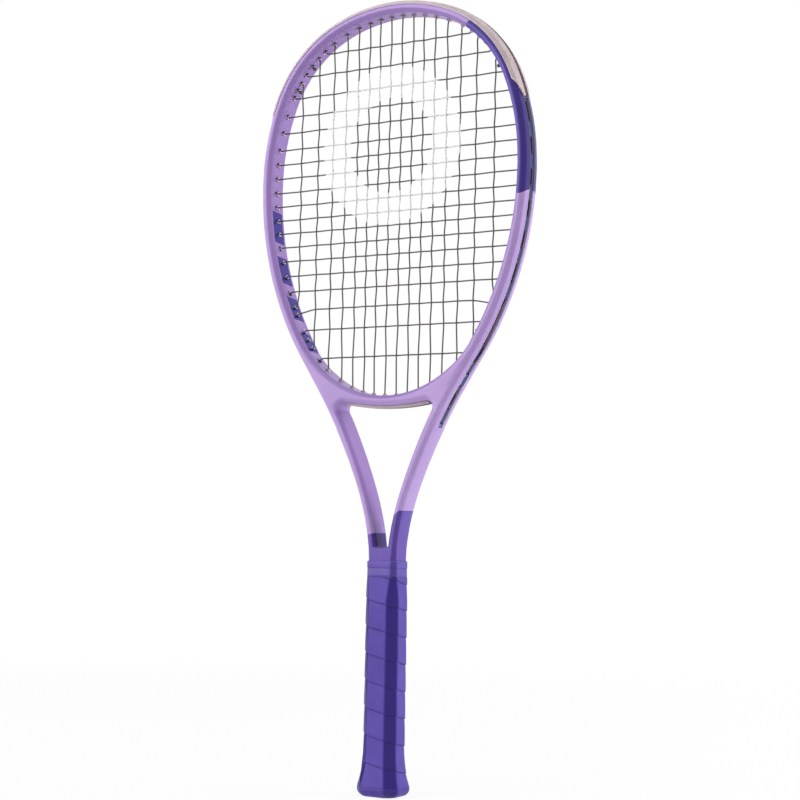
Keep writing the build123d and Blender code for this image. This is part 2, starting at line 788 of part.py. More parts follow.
export_step(butt_cap.part, "parts/butt_cap.step")

with BuildPart() as butt_cap_door:
    with BuildSketch(Plane.XY.offset(door_recess)):
        RectangleRounded(door_width, door_depth, door_corner)
    extrude(amount=door_thickness)
butt_cap_door.part.label = "butt_cap_door"
export_step(butt_cap_door.part, "parts/butt_cap_door.step")

with BuildPart() as butt_cap_staples:
    for hand in (-1, 1):
        staple(hand)
butt_cap_staples.part.label = "butt_cap_staples"
export_step(butt_cap_staples.part, "parts/butt_cap_staples.step")

with BuildPart() as pallet_block:
    tapered(handle_layer(skirt_top + fit, tang_top - fit, pallet_inset))
    extrude(face_on(Plane.XY.offset(pallet_bottom), spigot_outline),
            amount=skirt_top + fit - pallet_bottom)
    tang_hole = octagon(tang_width, tang_depth, tang_corner, -fit)
    extrude(face_on(Plane.XY, tang_hole), amount=tang_top, mode=Mode.SUBTRACT)
    for hand in (-1, 1):
        staple(hand, grow=fit * 2, mode=Mode.SUBTRACT)

with BuildPart() as front_pallet:
    add(pallet_block.part)
    split(bisect_by=Plane.XZ.offset(fit), keep=Keep.TOP)
front_pallet.part.label = "front_pallet"
export_step(front_pallet.part, "parts/front_pallet.step")

with BuildPart() as rear_pallet:
    add(pallet_block.part)
    split(bisect_by=Plane.XZ.offset(-fit), keep=Keep.BOTTOM)
rear_pallet.part.label = "rear_pallet"
export_step(rear_pallet.part, "parts/rear_pallet.step")

for side, hand in (("left", -1), ("right", 1)):
    plug_plane = Plane(origin=(hand * leg_centre, 0, tang_bottom))
    with BuildPart() as leg_plug:
        extrude(face_on(plug_plane, leg_outline(fit)), amount=plug_length)
    leg_plug.part.label = side + "_leg_plug"
    export_step(leg_plug.part, "parts/" + side + "_leg_plug.step")


# ---- strings -------------------------------------------------------------------------------
weave_height = (string_diameter + weave_gap) / 2 / (1 - weave_share)
groove_line = groove_floor + string_seat
straight_share = 0.45


class Route:
    """The corners of a string. Each has the greatest reach of its curve to either side, and the
    greatest share of the shorter run beside it that the curve may take."""

    def __init__(self):
        self.corners = []

    def to(self, point, reach=bend_reach, share=straight_share):
        self.corners.append((point, reach, share))

    def radii(self):
        found = []
        for before, here, after in zip(self.corners, self.corners[1:], self.corners[2:]):
            run_in = here[0] - before[0]
            run_out = after[0] - here[0]
            reach = min(here[1], here[2] * min(run_in.length, run_out.length))
            found.append(reach / tan(radians(run_in.get_angle(run_out)) / 2))
        return found


def handed(point, hand):
    return Vector(hand * point.X, point.Y, point.Z)


def along_groove(route, first, last, side=0.0):
    """From one hole to another. With a side, the string keeps clear of the holes between."""
    way = copysign(1.0, last - first)
    shift = passing_shift if side else 0.0
    start = first + way * shift
    stop = last - way * shift
    steps = max(round(abs(stop - start) / track_step), 1)
    skipped = 0 if side else 1
    for step in range(skipped, steps + 1 - skipped):
        route.to(beam_at(start + (stop - start) * step / steps, groove_line, side),
                 reach=track_step)


def tie_off(hole, hand):
    """Middle of the knot that ends a string, just inside the hoop."""
    return handed(hole.on_axis(-barrel_stand - knot_stand - knot_radius), hand)


def is_crossed(number, level):
    """Whether a main and a cross meet before either turns into its barrel."""
    height = cross_heights[level]
    return (main_offsets[number] < holes["cross", level].bend.X - bend_stand
            and height < holes["main top", number].bend.Z - bend_stand
            and height > holes["main foot", number].bend.Z + bend_stand)


def weave(column, level):
    return weave_height if (column + level) % 2 else -weave_height


mains_a_side = len(main_offsets)
columns = range(2 * mains_a_side)


def column_place(column):
    """Which hand a main is on, and its number from the middle."""
    if column < mains_a_side:
        return -1, mains_a_side - 1 - column
    return 1, column - mains_a_side


def seat_corners(hole):
    """Where a string turns as it leaves a hole for the groove."""
    return [hairpin_start, hairpin_end] if hole is low_hole else [hole.seat]


def run_of_string(route, ends, hands, crossings):
    """One run, from a groove through the hoop, over and under, and out to the other groove."""
    for corner in reversed(seat_corners(ends[0])):
        route.to(handed(corner, hands[0]), reach=seat_reach)
    route.to(handed(ends[0].bend, hands[0]))
    for crossing in crossings:
        route.to(crossing, reach=track_step, share=weave_share)
    route.to(handed(ends[1].bend, hands[1]))
    for corner in seat_corners(ends[1]):
        route.to(handed(corner, hands[1]), reach=seat_reach)


def main_run(route, column):
    hand, number = column_place(column)
    ends = [holes["main top", number], holes["main foot", number]]
    crossings = [Vector(hand * main_offsets[number], weave(column, level), height)
                 for level, height in enumerate(cross_heights) if is_crossed(number, level)]
    if column % 2:
        ends.reverse()
        crossings.reverse()
    run_of_string(route, ends, (hand, hand), crossings)


def main_loop(route, column):
    """The loop from a main to the next one. The first run goes down, the second comes up."""
    hand, number = column_place(column)
    next_hand, next_number = column_place(column + 1)
    if column % 2:
        first = hand * holes["main top", number].distance
        last = next_hand * holes["main top", next_number].distance
        passed = min(number, next_number) == bridge_mains + 1
        along_groove(route, first, last, -passing_side if passed else 0.0)
    elif max(number, next_number) < bridge_mains:
        middle = (main_offsets[number] + main_offsets[next_number]) / 2
        swing = 180.0 - degrees(asin(middle / bridge_under_radius))
        route.to(handed(under.at(swing, string_seat), hand), reach=track_step)
    elif number > bridge_mains + 1:
        along_groove(route, hand * holes["main foot", number].distance,
                     hand * holes["main foot", next_number].distance, -passing_side)


last_main = mains_a_side - 1
tie_top, tie_side, tie_foot = [holes["tie", number] for number in range(3)]

main_route = Route()
main_route.to(tie_off(tie_top, -1))
main_route.to(handed(tie_top.seat, -1), reach=seat_reach)
along_groove(main_route, -tie_top.distance, -holes["main top", last_main].distance)
for column in columns:
    hand, number = column_place(column)
    main_run(main_route, column)
    if column < columns[-1]:
        main_loop(main_route, column)
along_groove(main_route, holes["main top", last_main].distance, tie_top.distance)
main_route.to(tie_top.seat, reach=seat_reach)
main_route.to(tie_off(tie_top, 1))


def cross_run(route, level):
    hole = holes["cross", level]
    crossings = []
    for column in columns:
        hand, number = column_place(column)
        if is_crossed(number, level):
            crossings.append(Vector(hand * main_offsets[number], -weave(column, level),
                                    cross_heights[level]))
    hands = (-1, 1)
    if level % 2:
        hands = (1, -1)
        crossings.reverse()
    run_of_string(route, (hole, hole), hands, crossings)


def is_passing(first, last):
    """Whether another hole lies between two places in the groove."""
    return any(first < hole.distance - fit and hole.distance + fit < last for hole in beam_holes)


cross_route = Route()
cross_route.to(tie_off(tie_side, -1))
cross_route.to(handed(tie_side.seat, -1), reach=seat_reach)
along_groove(cross_route, -tie_side.distance, -holes["cross", 0].distance, passing_side)
for level in range(len(cross_heights)):
    cross_run(cross_route, level)
    hand = -1 if level % 2 else 1
    here = holes["cross", level].distance
    if level + 1 < len(cross_heights):
        after = holes["cross", level + 1].distance
        along_groove(cross_route, hand * here, hand * after,
                     passing_side if is_passing(here, after) else 0.0)
along_groove(cross_route, holes["cross", level].distance, tie_foot.distance, passing_side)
cross_route.to(tie_foot.seat, reach=seat_reach)
cross_route.to(tie_off(tie_foot, 1))


def export_string(route, name):
    points = [corner[0] for corner in route.corners]
    radii = route.radii()
    with BuildPart() as cord:
        with BuildLine() as path:
            FilletPolyline(*points, radius=radii)
        with BuildSketch(Plane(origin=points[0], z_dir=points[1] - points[0])):
            Circle(string_diameter / 2)
        sweep(path=path.wire())
        for knot in (points[0], points[-1]):
            with Locations(knot):
                Sphere(knot_radius)
    cord.part.label = name
    export_step(cord.part, "parts/" + name + ".step")
    print(name, "length", round(path.wire().length), "least radius", round(min(radii), 2))
    return cord


main_string = export_string(main_route, "main_string")
cross_string = export_string(cross_route, "cross_string")
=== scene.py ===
import math
import bmesh
import bpy
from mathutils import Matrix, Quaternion, Vector
from mathutils.bvhtree import BVHTree


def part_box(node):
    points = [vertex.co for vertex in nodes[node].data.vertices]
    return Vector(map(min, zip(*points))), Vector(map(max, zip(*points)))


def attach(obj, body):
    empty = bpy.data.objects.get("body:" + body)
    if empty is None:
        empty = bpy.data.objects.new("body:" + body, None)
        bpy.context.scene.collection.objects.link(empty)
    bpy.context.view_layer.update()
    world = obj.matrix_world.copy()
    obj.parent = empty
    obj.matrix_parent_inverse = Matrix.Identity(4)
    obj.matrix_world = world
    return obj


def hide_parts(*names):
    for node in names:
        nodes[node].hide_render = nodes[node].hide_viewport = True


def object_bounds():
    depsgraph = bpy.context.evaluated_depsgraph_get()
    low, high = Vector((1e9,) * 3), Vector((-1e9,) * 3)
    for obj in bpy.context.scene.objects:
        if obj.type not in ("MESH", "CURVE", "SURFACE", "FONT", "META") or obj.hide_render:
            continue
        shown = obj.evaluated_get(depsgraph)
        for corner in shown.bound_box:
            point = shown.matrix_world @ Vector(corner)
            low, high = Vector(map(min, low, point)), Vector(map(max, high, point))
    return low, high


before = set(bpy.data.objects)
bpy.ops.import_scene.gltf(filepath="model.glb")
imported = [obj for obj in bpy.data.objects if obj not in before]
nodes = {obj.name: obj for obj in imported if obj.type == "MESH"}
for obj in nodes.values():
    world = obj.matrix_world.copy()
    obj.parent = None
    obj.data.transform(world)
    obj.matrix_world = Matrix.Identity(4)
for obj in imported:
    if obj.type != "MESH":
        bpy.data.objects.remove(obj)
cadLow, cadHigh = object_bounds()
mm = 0.001
white = (1.0, 1.0, 1.0, 1.0)
print("frame loaded,", len(nodes), "nodes")


def card(red, green, blue):
    # a colour as read off a card, 0 to 255, in the linear values that shaders take
    linear = []
    for part in (red / 255, green / 255, blue / 255):
        linear.append(part / 12.92 if part <= 0.04045 else ((part + 0.055) / 1.055) ** 2.4)
    return (*linear, 1.0)


def pick(sockets, label):
    # a socket by its number, its identifier or its name
    if isinstance(label, int):
        return sockets[label]
    return next(one for one in sockets if label in (one.identifier, one.name))


class Wire:
    # one output socket, which can be used in plain sums
    def __init__(self, board, socket):
        self.board = board
        self.socket = socket

    def __add__(self, other):
        return self.board.sum("ADD", self, other)

    def __sub__(self, other):
        return self.board.sum("SUBTRACT", self, other)

    def __rsub__(self, other):
        return self.board.sum("SUBTRACT", other, self)

    def __mul__(self, other):
        return self.board.sum("MULTIPLY", self, other)

    def __truediv__(self, other):
        return self.board.sum("DIVIDE", self, other)

    def __rtruediv__(self, other):
        return self.board.sum("DIVIDE", other, self)

    def __pow__(self, other):
        return self.board.sum("POWER", self, other)

    def __rpow__(self, other):
        return self.board.sum("POWER", other, self)

    def __abs__(self):
        return self.board.sum("ABSOLUTE", self)

    __radd__ = __add__
    __rmul__ = __mul__


class Board:
    # a node tree that is being wired
    def __init__(self, tree):
        self.tree = tree

    def feed(self, socket, value):
        # a wire is linked to the socket, and anything else is set on it
        if isinstance(value, Wire):
            self.tree.links.new(value.socket, socket)
        else:
            socket.default_value = value

    def node(self, kind, settings, sockets, result=0):
        made = self.tree.nodes.new(kind)
        for label, value in settings.items():
            setattr(made, label, value)
        for label, value in sockets.items():
            self.feed(pick(made.inputs, label), value)
        return Wire(self, pick(made.outputs, result))

    def sum(self, operation, *values):
        return self.node("ShaderNodeMath", {"operation": operation}, dict(enumerate(values)))

    def larger(self, first, second):
        return self.sum("MAXIMUM", first, second)

    def backdropRays(self):
        # 1 for the rays that are to see a plain white backdrop: the camera's, and those that come
        # to it through clear pieces or off shiny ones
        camera, glossy, clear = [
            self.node("ShaderNodeLightPath", {}, {}, name)
            for name in ("Is Camera Ray", "Is Glossy Ray", "Is Transmission Ray")]
        return self.larger(camera, self.larger(glossy, clear))


class Finish(Board):
    # a material that is being made
    def __init__(self, name, **fixed):
        self.material = bpy.data.materials.new(name)
        self.material.use_nodes = True
        super().__init__(self.material.node_tree)
        self.shader = self.tree.nodes["Principled BSDF"]
        for label, value in fixed.items():
            self.set(label.replace("_", " "), value)

    def set(self, label, value):
        self.feed(self.shader.inputs[label], value)

    def spot(self):
        return self.node("ShaderNodeTexCoord", {}, {}, "Object")

    def place(self):
        # x, y and z on the piece, in millimetres of the shared frame
        spot = self.spot()
        return [self.node("ShaderNodeSeparateXYZ", {}, {0: spot}, axis) * 1000 for axis in "XYZ"]

    def facing(self):
        normal = self.node("ShaderNodeTexCoord", {}, {}, "Normal")
        return [self.node("ShaderNodeSeparateXYZ", {}, {0: normal}, axis) for axis in "XYZ"]

    def over(self, value, limit, soft=0.15):
        # 1 where value is over the limit, 0 where it is under
        return self.node("ShaderNodeMapRange", {"interpolation_type": "SMOOTHSTEP"},
                         {"Value": value - limit, "From Min": -soft, "From Max": soft})

    def under(self, value, limit, soft=0.15):
        return 1 - self.over(value, limit, soft)

    def mix(self, amount, first, second):
        return self.node("ShaderNodeMix", {"data_type": "RGBA"},
                         {"Factor_Float": amount, "A_Color": first, "B_Color": second},
                         "Result_Color")

    def patches(self, noise, first, second, soft=0.3):
        # two shades of one colour, in soft patches
        return self.mix(self.over(noise, 0.5, soft), first, second)

    def shadeBevels(self, plain, deep, amount):
        # painted shade on the slanting sides of the handle, between its front, its back and its
        # flanks:
        # there nx times ny is about a half, and on the other sides it is 0
        nx, ny, nz = self.facing()
        return self.mix(self.over(abs(nx * ny), 0.27, 0.2) * amount, plain, deep)

    def cloud(self, size, detail=3.0, rough=0.5, stretch=None):
        # soft noise about 0.5, with blotches of a size in millimetres
        spot = self.spot()
        if stretch:
            spot = self.node("ShaderNodeVectorMath", {"operation": "MULTIPLY"},
                             {0: spot, 1: stretch})
        return self.node("ShaderNodeTexNoise", {},
                         {"Vector": spot, "Scale": 1000 / size, "Detail": detail,
                          "Roughness": rough})

    def softEdges(self, radius):
        # normals that turn over an edge as if it had this radius in millimetres
        return self.node("ShaderNodeBevel", {"samples": 6}, {"Radius": radius * mm})

    def bump(self, height, depth, base=None):
        # height is 0 to 1, and depth what that means in millimetres
        sockets = {"Strength": 1.0, "Distance": depth * mm, "Height": height}
        if base:
            sockets["Normal"] = base
        self.set("Normal", self.node("ShaderNodeBump", {}, sockets))


def wear(obj, finish):
    obj.data.materials.clear()
    obj.data.materials.append(finish.material)


def newObject(name, mesh):
    obj = bpy.data.objects.new(name, mesh)
    bpy.context.scene.collection.objects.link(obj)
    return obj


def settled(obj):
    # the mesh as its modifiers leave it, with the modifiers gone
    mesh = bpy.data.meshes.new_from_object(obj.evaluated_get(bpy.context.evaluated_depsgraph_get()))
    obj.modifiers.clear()
    obj.data = mesh
    mesh.shade_smooth()
    return obj


hoop = {
    "middle": 500.0,      # height of its middle
    "bottom": 312.0,      # height under the bridge, where the outside of the hoop begins
}


def turnedOut(x, z, nx, nz):
    # how far a face looks away from the middle of the hoop, below 0 where it looks into it
    return nx * x + nz * (z - hoop["middle"])


# frame: the beam and the bridge under one skin
frameShell = {
    "grain": 0.75,           # size of the squares that the skin is drawn from
    "fill": 0.12,            # how far the bridge is swelled to close the joint line
    "softness": 3,
    "jointReach": 4.5,       # the joint is faired this far to both sides
    "jointStrength": 1.6,
    "jointSoftness": 45,
    "bedDepth": 0.22,        # the skin lies this much deeper under the guard and the strips
    "bedMargin": (4.0, 2.0),   # and this far past the ends and under the edge of the throat's strip
    "bedTurn": 0.1,          # it begins on faces that look outward by more than this
    "bedSharpness": 4,
}


def searchTree(name):
    work = bmesh.new()
    work.from_mesh(nodes[name].data)
    tree = BVHTree.FromBMesh(work)
    work.free()
    return tree


def joinedSkin():
    look = frameShell
    work = bmesh.new()
    for name, swell in (("frame_tube", 0.0), ("throat_bridge", look["fill"])):
        first = len(work.verts)
        work.from_mesh(nodes[name].data)
        work.verts.ensure_lookup_table()
        work.normal_update()
        for vert in work.verts[first:]:
            vert.co += vert.normal * swell * mm
    mesh = bpy.data.meshes.new("frame_shell")
    work.to_mesh(mesh)
    work.free()
    shell = newObject("frame_shell", mesh)
    skin = shell.modifiers.new("skin", "REMESH")
    skin.mode = "VOXEL"
    skin.voxel_size = look["grain"] * mm
    soft = shell.modifiers.new("soft", "SMOOTH")
    soft.factor = 0.5
    soft.iterations = look["softness"]
    return settled(shell)


def fairJoint(shell):
    # the joint line between the two mouldings is faired, and the rest left alone
    look = frameShell
    sides = [searchTree("frame_tube"), searchTree("throat_bridge")]
    reach = look["jointReach"] * mm
    joint = shell.vertex_groups.new(name="joint")
    low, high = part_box("throat_bridge")
    for vert in shell.data.vertices:
        if vert.co.z < low.z - reach or vert.co.z > high.z + reach:
            continue
        far = 0.0
        for side in sides:
            spot = side.find_nearest(vert.co, reach)
            far = max(far, spot[3] if spot[0] else reach)
        if far < reach:
            strength = (reach - far) / reach * look["jointStrength"]
            joint.add([vert.index], min(strength, 1.0), "REPLACE")
    fair = shell.modifiers.new("fair", "SMOOTH")
    fair.factor = 0.5
    fair.iterations = look["jointSoftness"]
    fair.vertex_group = "joint"
    settled(shell)
    shell.vertex_groups.clear()


def makeBeds(shell):
    # the skin is let down by a hair where the guard and the strips lie on it: on the outside of the
    # hoop, and under the bridge
    look = frameShell
    stripLow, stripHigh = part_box("throat_grommet_strip")
    past, under = [margin * mm for margin in look["bedMargin"]]
    sharp = look["bedSharpness"]
    lowered = []
    for vert in shell.data.vertices:
        spot, normal = vert.co.copy(), vert.normal.copy()
        share = 0.0
        if spot.z > hoop["bottom"] * mm:
            outward = Vector((spot.x, 0, spot.z - hoop["middle"] * mm)).normalized()
            share = (normal.dot(outward) - look["bedTurn"]) * sharp
        if abs(spot.x) < stripHigh.x + past and stripLow.z - under < spot.z < stripHigh.z:
            share = max(share, -normal.z * sharp - 1.0)
        lowered.extend(spot - normal * look["bedDepth"] * min(max(share, 0.0), 1.0) * mm)
    shell.data.vertices.foreach_set("co", lowered)
    shell.data.update()


lacquer = {
    # how far a face turns away from the middle of the hoop for each look, and how softly it begins
    "outside": (0.0, 8.0),
    "innerWall": (-60.0, 30.0),
    "bandInside": (-28.0, 14.0),
    "bandOutside": (28.0, 14.0),
    "armOutside": (8.0, 4.0),             # the same, away from the racket's middle line
    "armsBetween": (-4.0, 2.0),
    "lavender": card(182, 153, 211),
    "lavenderShade": card(172, 142, 202),
    "lavenderInnerShade": card(152, 122, 186),   # painted shade on the wall inside the hoop
    "violetLit": card(104, 82, 170),         # painted light, where the band faces into the hoop
    "violetShade": card(92, 70, 160),
    "violetShaded": card(54, 32, 132),      # painted shade on its front and its back
    "violetShadedOutside": card(52, 32, 118),     # and deeper painted shade round the outside
    "ankle": card(98, 72, 166),
    "ankleShade": card(66, 40, 126),      # painted shade on the walls of the arms that face each other, and on their bevels
    "flake": card(255, 250, 255),
    "bandStart": (75.2, 654.0, 1.067),    # a point of the band's upper edge, and the edge's slant
    "bandEnd": 504.5,                     # height where the violet band ends
    "bandArch": 4.5,                      # and how much higher the end is at the middle of the side
    "beamHalfDepth": 12.5,
    "ankleLeft": (219.6, -17.0, -0.26),   # height of its edge, where the edge bends, and the slant
    "ankleRight": (241.5, 17.5, 0.8),
    "groove": card(52, 70, 104),
    "grooveHalfWidth": 3.05,
    "armTop": 420.0,                      # below this the groove is only on the outside of the arms
    # painted highlight along the lips at the groove's edges
    "lipHighlight": card(190, 178, 214),
    "lipEdges": (3.1, 4.1),               # from the middle of the beam
    "bars": [(381.0, 17.0), (410.0, 21.0), (443.0, 25.0), (481.0, 29.0)],   # height, length
    "barColour": card(50, 32, 130),
    "barSlant": 0.12,
    "barHalfWidth": 7.2,
}


def frameLacquer():
    look = lacquer
    f = Finish("frame_lacquer", IOR=1.38, Coat_Roughness=0.15, Specular_IOR_Level=0.35)
    x, y, z = f.place()
    nx, ny, nz = f.facing()
    side = abs(y)
    turned = turnedOut(x, z, nx, nz)
    out = f.over(turned, *look["outside"])
    # the groove runs round the outside of the hoop, and down the outside of the arms to its end
    armSide = f.over(nx * x, *look["armOutside"])
    run = f.over(z, hoop["bottom"], 0.5) * f.larger(f.over(z, look["armTop"], 5.0), armSide)
    walls = f.over(abs(ny), 0.75, 0.1)
    groove = f.under(side, look["grooveHalfWidth"], 0.25) * f.larger(out, walls) * run
    # a painted highlight along the lips on both sides of the groove
    lipIn, lipOut = look["lipEdges"]
    lipHighlight = f.over(side, lipIn, 0.15) * f.under(side, lipOut, 0.3) * out * run
    # the band starts at a slanting edge on the shoulder, and ends in a low arch across the side
    startX, startZ, slant = look["bandStart"]
    arch = z + (side / look["beamHalfDepth"]) ** 2 * look["bandArch"]
    band = f.over(x - (z - startZ) * slant, startX, 0.35) * f.over(x, 20)
    band = band * f.over(arch, look["bandEnd"] + look["bandArch"], 0.3)
    height, bend, slant = look["ankleLeft"]
    ankleLeft = f.under(x, 0) * f.under(z + f.larger(x - bend, 0.0) * slant, height, 0.3)
    height, bend, slant = look["ankleRight"]
    ankleRight = f.over(x, 0) * f.under(z + f.larger(bend - x, 0.0) * slant, height, 0.3)
    ankle = f.larger(ankleLeft, ankleRight)
    slanting = z + y * look["barSlant"]
    bars = 0.0
    for height, length in look["bars"]:
        bars = f.over(slanting, height, 0.3) * f.under(slanting, height + length, 0.3) + bars
    bars = bars * f.under(side, look["barHalfWidth"], 0.2) * f.over(nx, 0.6, 0.05) * f.under(x, 0)
    drift = f.cloud(45, 2.0)
    lavender = f.patches(drift, look["lavender"], look["lavenderShade"])
    # painted shade where the lavender faces into the hoop
    lavender = f.mix(f.under(turned, *look["innerWall"]), lavender, look["lavenderInnerShade"])
    # painted light on the band where it faces into the hoop, painted shade on its front, back and
    # outside
    bright = f.patches(drift, look["violetLit"], look["violetShade"])
    deep = f.mix(f.over(turned, *look["bandOutside"]), look["violetShaded"], look["violetShadedOutside"])
    colour = f.mix(band, lavender, f.mix(f.under(turned, *look["bandInside"]), deep, bright))
    # painted shade on the arms' facing walls and on the ankles' bevels
    between = f.under(nx * x, *look["armsBetween"])
    ankles = f.shadeBevels(look["ankle"], look["ankleShade"], 0.6)
    colour = f.mix(ankle, colour, f.mix(between, ankles, look["ankleShade"]))
    colour = f.mix(bars, colour, look["barColour"])
    colour = f.mix(f.over(f.cloud(0.25, 1.0), 0.62, 0.1) * 0.05, colour, look["flake"])
    colour = f.mix(lipHighlight * (0.5 - band * 0.3), colour, look["lipHighlight"])
    colour = f.mix(groove, colour, look["groove"])
    f.set("Base Color", colour)
    f.set("Roughness", 0.30 + drift * 0.12 + groove * 0.2)
    f.set("Coat Weight", 0.12 - groove * 0.10)
    f.bump(f.cloud(1.6, 2.0), 0.012)
    return f


shell = joinedSkin()
fairJoint(shell)
makeBeds(shell)
wear(shell, frameLacquer())
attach(shell, "racket")
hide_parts("frame_tube", "throat_bridge")
print("frame moulded and lacquered,", len(shell.data.polygons), "faces")


# head guard and grommet strips, one translucent plastic
guard = {
    "plastic": card(210, 192, 192),
    "thin": card(178, 162, 168),
    "speck": card(120, 100, 110),
    "barrel": card(226, 210, 226),     # painted light on the ends that look into the hoop, above barrelBottom
    "barrelBottom": 380.0,
    "channel": card(92, 78, 90),       # painted shade in the channel where the strings run along the outside
    "sunk": card(44, 56, 88),          # the same painted shade on the strips, which lie deep in the groove, darker and teal where the groove shows through the thin plastic
    "channelHalfWidth": 2.9,
    "outside": (0.0, 8.0),             # turn away from the middle of the hoop, and softness
    "inside": (-20.0, 15.0),
    "edge": 0.5,
}


def guardPlastic(name, channelColour):
    look = guard
    f = Finish(name, IOR=1.46, Subsurface_Weight=0.12, Subsurface_Scale=1.0,
               Subsurface_Radius=(0.9 * mm, 0.7 * mm, 0.7 * mm))
    x, y, z = f.place()
    nx, ny, nz = f.facing()
    turned = turnedOut(x, z, nx, nz)
    # painted shade in the channel
    channel = f.under(abs(y), look["channelHalfWidth"], 0.08) * f.over(turned, *look["outside"])
    # painted light on the barrels
    barrel = f.under(turned, *look["inside"]) * f.over(z, look["barrelBottom"])
    drift = f.cloud(14, 3.0)
    colour = f.patches(drift, look["plastic"], look["thin"], 0.35)
    colour = f.mix(barrel, colour, look["barrel"])
    colour = f.mix(channel, colour, channelColour)
    colour = f.mix(f.over(f.cloud(0.5, 2.0), 0.66, 0.06) * 0.12, colour, look["speck"])
    f.set("Base Color", colour)
    f.set("Roughness", 0.36 + drift * 0.16)
    f.bump(f.cloud(0.8, 3.0), 0.02, f.softEdges(look["edge"]))
    return f


guardFinish = guardPlastic("guard_plastic", guard["channel"])
stripFinish = guardPlastic("strip_plastic", guard["sunk"])
for name in ("bumper_guard", "throat_grommet_strip"):
    wear(nodes[name], guardFinish)
for name in ("left_grommet_strip", "right_grommet_strip",
             "left_arm_grommets", "right_arm_grommets"):
    wear(nodes[name], stripFinish)
print("guards and strips done")


# strings, with a ring of stencil paint
stringLook = {
    "fibre": card(92, 88, 90),
    "fibreDark": card(66, 62, 64),
    "stencil": card(218, 216, 216),
    "ringCentre": (-4.0, 560.0),
    "ringRadius": 56.0,
    "ringHalfWidth": 14.0,
    "ringRagged": 3.0,       # how far the paint's edge wanders
    "paintBack": 0.55,       # how far behind the middle of the string the paint gets
}


def stringFibre():
    look = stringLook
    f = Finish("string_fibre", IOR=1.5)
    x, y, z = f.place()
    middleX, middleZ = look["ringCentre"]
    away = f.sum("SQRT", (x - middleX) ** 2 + (z - middleZ) ** 2)
    ragged = (f.cloud(3.0, 3.0) - 0.5) * look["ringRagged"]
    ring = f.under(abs(away - look["ringRadius"] + ragged), look["ringHalfWidth"], 0.6)
    # the paint lies on the front, and a little gets round the sides
    ring = ring * f.under(y + (f.cloud(0.9, 2.0) - 0.5) * 0.4, look["paintBack"], 0.35)
    patchy = f.over(f.cloud(1.1, 3.0), 0.36, 0.08)
    colour = f.mix(f.cloud(6, 3.0), look["fibreDark"], look["fibre"])
    colour = f.mix(ring * patchy, colour, look["stencil"])
    f.set("Base Color", colour)
    f.set("Roughness", 0.34 + ring * 0.25)
    f.bump(f.cloud(0.35, 3.0), 0.015)
    return f


stringFinish = stringFibre()
for name in ("main_string", "cross_string"):
    wear(nodes[name], stringFinish)
print("strings done")


def ringLoft(name, rings):
    # quads between rings that have as many points each, and from the last ring back to the first
    count = len(rings[0])
    corners = [tuple(point) for ring in rings for point in ring]
    faces = []
    for row in range(len(rings)):
        low = row * count
        high = (row + 1) % len(rings) * count
        for column in range(count):
            after = (column + 1) % count
            faces.append((low + column, low + after, high + after, high + column))
    mesh = bpy.data.meshes.new(name)
    mesh.from_pydata(corners, [], faces)
    mesh.shade_smooth()
    return newObject(name, mesh)


def roundedOutline(corners, radius, count):
    # points at even steps round a convex outline whose corners are rounded. The corners run
    # anticlockwise seen from above, and the points start where the first rounding does
    dense = []
    arcSteps = 8
    for index, corner in enumerate(corners):
        before, here = Vector(corners[index - 1]), Vector(corner)
        after = Vector(corners[(index + 1) % len(corners)])
        into = (here - before).normalized()
        away = (after - here).normalized()
        reach = radius * math.tan(into.angle(away) / 2)
        first = here - into * reach
        last = here + away * reach
        for step in range(arcSteps + 1):
            # a quadratic curve is within a hair of the arc for such small turns
            share = step / arcSteps
            dense.append(first.lerp(here, share).lerp(here.lerp(last, share), share))
    lengths = [0.0]
    for index, point in enumerate(dense):
        lengths.append(lengths[-1] + (dense[(index + 1) % len(dense)] - point).length)
    points = []
    segment = 0
    for step in range(count):
        goal = step / count * lengths[-1]
        while lengths[segment + 1] < goal:
            segment += 1
        share = (goal - lengths[segment]) / max(lengths[segment + 1] - lengths[segment], 1e-9)
        points.append(dense[segment].lerp(dense[(segment + 1) % len(dense)], share))
    return points


def octagon(width, depth, bevel):
    # from the left end of the front side round to the right and the back
    x, y = width / 2, depth / 2
    return [(bevel - x, -y), (x - bevel, -y), (x, bevel - y), (x, y - bevel),
            (x - bevel, y), (bevel - x, y), (-x, y - bevel), (-x, bevel - y)]


def rounded(width, depth, corner, count):
    # a rectangle, started like the handle's outline at the left end of the front
    x, y = width / 2, depth / 2
    return roundedOutline([(-x, -y), (x, -y), (x, y), (-x, y)], corner, count)


def atHeight(points, height):
    return [Vector((point.x, point.y, height)) * mm for point in points]


# handle, an octagon that flares at the butt and narrows at the top
gripLow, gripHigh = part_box("grip_wrap")
capLow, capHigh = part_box("butt_cap")
bevelShare = 2 - math.sqrt(2)      # how fast an octagon's bevels shrink as its sides move in
handle = {
    "width": 33.0, "depth": 30.0, "bevel": 7.4,
    "buttWidth": (capHigh.x - capLow.x) / mm, "buttDepth": (capHigh.y - capLow.y) / mm,
    "buttBevel": 8.6,
    "topWidth": 30.6, "topDepth": 26.2, "topBevel": 4.2,
    "rim": gripLow.z / mm,         # upper edge of the butt cap's moulding, where the grip begins
    "flareTop": 38.0,
    "taperBottom": 165.0,
    "top": gripHigh.z / mm,
    "corner": 4.6,
}


